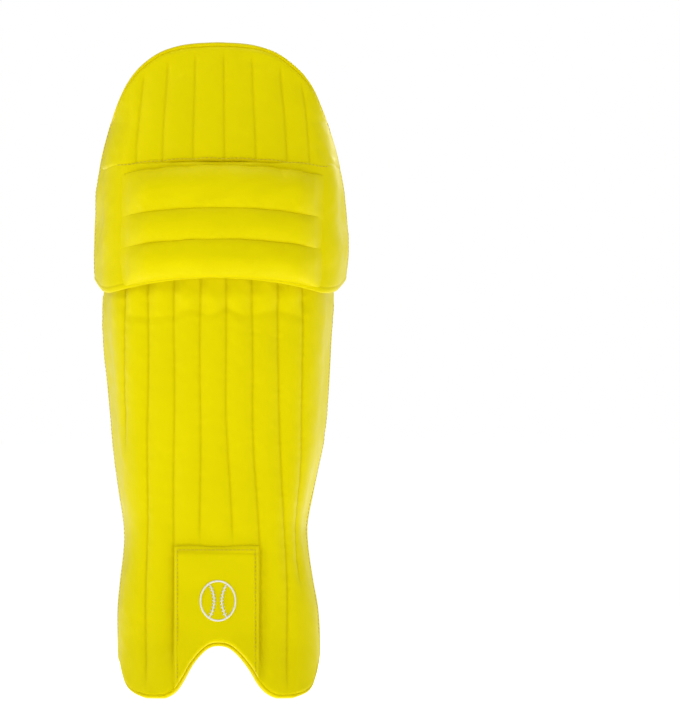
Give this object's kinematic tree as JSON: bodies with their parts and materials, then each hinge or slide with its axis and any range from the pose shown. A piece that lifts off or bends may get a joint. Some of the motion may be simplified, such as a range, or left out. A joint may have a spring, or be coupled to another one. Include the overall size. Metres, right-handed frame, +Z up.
{
  "type": "cricket_leg_pad",
  "caption": "Upright cricket batting leg pad: ribbed shin, padded knee rolls, domed top, notched instep, cushioned liner and hook-and-loop straps through plastic rings.",
  "frame": {"origin": "on the axis of the leg, level with the lowest points of the two instep lobes", "axes": "+Z up the leg as worn, -Y is the front that faces the ball, +X is the viewer's right when facing the front, where the wider wing is"},
  "size_m": [0.2883, 0.1924, 0.729],
  "materials": {
    "cover": "satin",
    "binding": "satin",
    "cane": "matte",
    "foam": "matte",
    "shield_plastic": "matte",
    "smooth_lining": "matte",
    "mesh_lining": "matte",
    "wing_lining": "matte",
    "strap_webbing": "matte",
    "hook_tape": "matte",
    "ring_plastic": "satin",
    "mark": "satin"
  },
  "bodies": {
    "shin": {"shin_cover": "cover", "shin_cane_1": "cane", "shin_cane_2": "cane", "shin_cane_3": "cane", "shin_cane_4": "cane", "shin_cane_5": "cane", "shin_cane_6": "cane", "shin_cane_7": "cane", "shin_backing_foam": "foam", "shin_liner": "smooth_lining", "wing_foam_left": "foam", "wing_foam_right": "foam", "wing_lining_left": "wing_lining", "wing_lining_right": "wing_lining", "shin_binding": "binding", "instep_foam": "foam", "instep_panel": "cover", "badge": "mark", "bolster_left": "mesh_lining", "bolster_centre": "smooth_lining", "bolster_right": "mesh_lining", "knee_bolster": "mesh_lining", "instep_liner": "smooth_lining", "ankle_base_strap": "hook_tape", "ankle_keeper": "hook_tape", "calf_base_strap": "hook_tape", "calf_keeper": "hook_tape"},
    "knee": {"knee_cover": "cover", "knee_roll_cover_1": "cover", "knee_roll_core_1": "foam", "knee_roll_cover_2": "cover", "knee_roll_core_2": "foam", "knee_roll_cover_3": "cover", "knee_roll_core_3": "foam", "knee_shield": "shield_plastic", "knee_foam": "foam", "knee_liner": "smooth_lining", "knee_wing_foam": "foam", "knee_wing_lining": "wing_lining", "knee_cup": "smooth_lining", "knee_wing_pad_left": "mesh_lining", "knee_wing_pad_right": "mesh_lining", "top_hat_cover": "cover", "top_hat_canes": "cane", "top_hat_foam": "foam", "top_hat_liner": "smooth_lining", "knee_binding": "binding", "knee_base_strap": "hook_tape", "knee_keeper": "hook_tape"},
    "ankle_buckle": {"ankle_ring": "ring_plastic"},
    "ankle_flap": {"ankle_strap_tail": "strap_webbing", "ankle_hook_tab": "hook_tape"},
    "calf_buckle": {"calf_ring": "ring_plastic"},
    "calf_flap": {"calf_strap_tail": "strap_webbing", "calf_hook_tab": "hook_tape"},
    "knee_buckle": {"knee_ring": "ring_plastic"},
    "knee_flap": {"knee_strap_tail": "strap_webbing", "knee_hook_tab": "hook_tape"}
  },
  "joints": [
    {"name": "knee_flex", "type": "hinge", "parent": "shin", "child": "knee", "pos_m": [0, -0.09, 0.482], "axis": [-1, 0, 0], "range_deg": [-6, 10], "stiffness_Nm_per_rad": 15},
    {"name": "ankle_ring_swing", "type": "hinge", "parent": "shin", "child": "ankle_buckle", "pos_m": [-0.0995, 0.00489, 0.1805], "axis": [0, 0, 1], "range_deg": [0, 25]},
    {"name": "ankle_strap_peel", "type": "hinge", "parent": "ankle_buckle", "child": "ankle_flap", "pos_m": [-0.0825, 0.01104, 0.1805], "axis": [0, 0, 1], "range_deg": [0, 110]},
    {"name": "calf_ring_swing", "type": "hinge", "parent": "shin", "child": "calf_buckle", "pos_m": [-0.1065, 0.01887, 0.3615], "axis": [0, 0, 1], "range_deg": [0, 25]},
    {"name": "calf_strap_peel", "type": "hinge", "parent": "calf_buckle", "child": "calf_flap", "pos_m": [-0.0895, 0.02503, 0.3615], "axis": [0, 0, 1], "range_deg": [0, 110]},
    {"name": "knee_ring_swing", "type": "hinge", "parent": "knee", "child": "knee_buckle", "pos_m": [-0.1245, 0.00157, 0.497], "axis": [0, 0, 1], "range_deg": [0, 25]},
    {"name": "knee_strap_peel", "type": "hinge", "parent": "knee_buckle", "child": "knee_flap", "pos_m": [-0.1075, 0.00773, 0.497], "axis": [0, 0, 1], "range_deg": [0, 110]}
  ]
}
